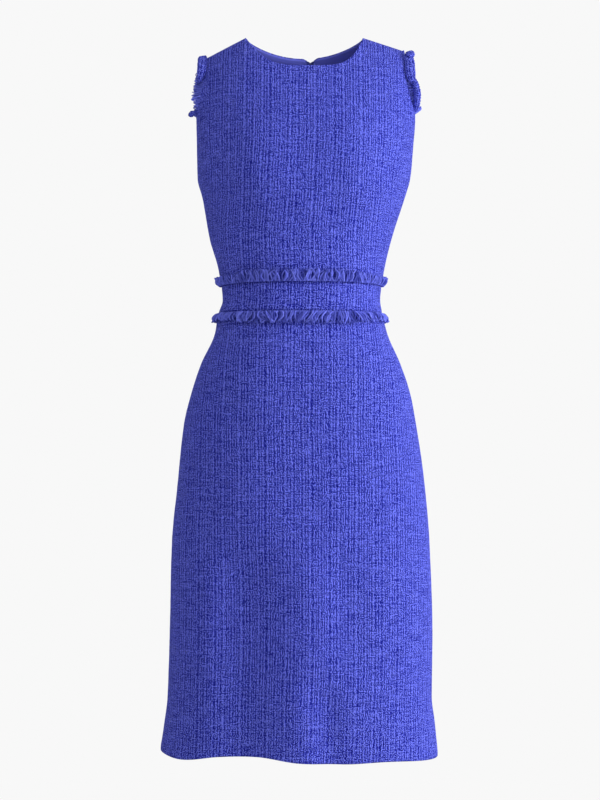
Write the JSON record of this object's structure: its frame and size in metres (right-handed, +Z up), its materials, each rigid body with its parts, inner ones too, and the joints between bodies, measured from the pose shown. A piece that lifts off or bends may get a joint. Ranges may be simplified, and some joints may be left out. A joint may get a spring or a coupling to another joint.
{
  "type": "sheath dress",
  "caption": "Sleeveless knee-length sheath dress in tweed, worn hollow shape, with inset waistband, frayed fringe at waist and armholes, and a centre-back zip.",
  "frame": {"origin": "midway between the shoulder seams, 12 mm below the neck points, where the wearer's shoulders hold the dress up", "axes": "+Z up, the front faces -Y, and +X is the wearer's left"},
  "size_m": [0.3878, 0.2548, 1.0021],
  "materials": {
    "tweed": "slubby blue tweed, matte",
    "fringe_yarn": "frayed blue yarn, matte",
    "facing": "smooth plain blue lining cloth, slight sheen",
    "zip_tape": "fine woven tape, matte",
    "zip_teeth": "moulded nylon coil, satin",
    "zip_metal": "plated zinc, satin",
    "hook_wire": "bent steel wire, dark"
  },
  "bodies": {
    "dress": {"bodice_front": "tweed", "bodice_back_left": "tweed", "bodice_back_right": "tweed", "waistband_front": "tweed", "waistband_back_left": "tweed", "waistband_back_right": "tweed", "skirt_front": "tweed", "skirt_back_left": "tweed", "skirt_back_right": "tweed", "fringe_upper_front": "fringe_yarn", "fringe_upper_back_left": "fringe_yarn", "fringe_upper_back_right": "fringe_yarn", "fringe_lower_front": "fringe_yarn", "fringe_lower_back_left": "fringe_yarn", "fringe_lower_back_right": "fringe_yarn", "fringe_armhole_left": "fringe_yarn", "fringe_armhole_right": "fringe_yarn", "neck_facing_left": "facing", "neck_facing_right": "facing", "zip_tape_left": "zip_tape", "zip_tape_right": "zip_tape", "zip_chain": "zip_teeth", "zip_slider": "zip_metal", "hook": "hook_wire", "eye": "hook_wire"},
    "zip_pull": {"zip_pull": "zip_metal"}
  },
  "joints": [
    {"name": "zip_pull_swing", "type": "hinge", "parent": "dress", "child": "zip_pull", "pos_m": [0.01449, 0.09399, -0.02801], "axis": [1, 0, 0], "range_deg": [0, 165]}
  ]
}
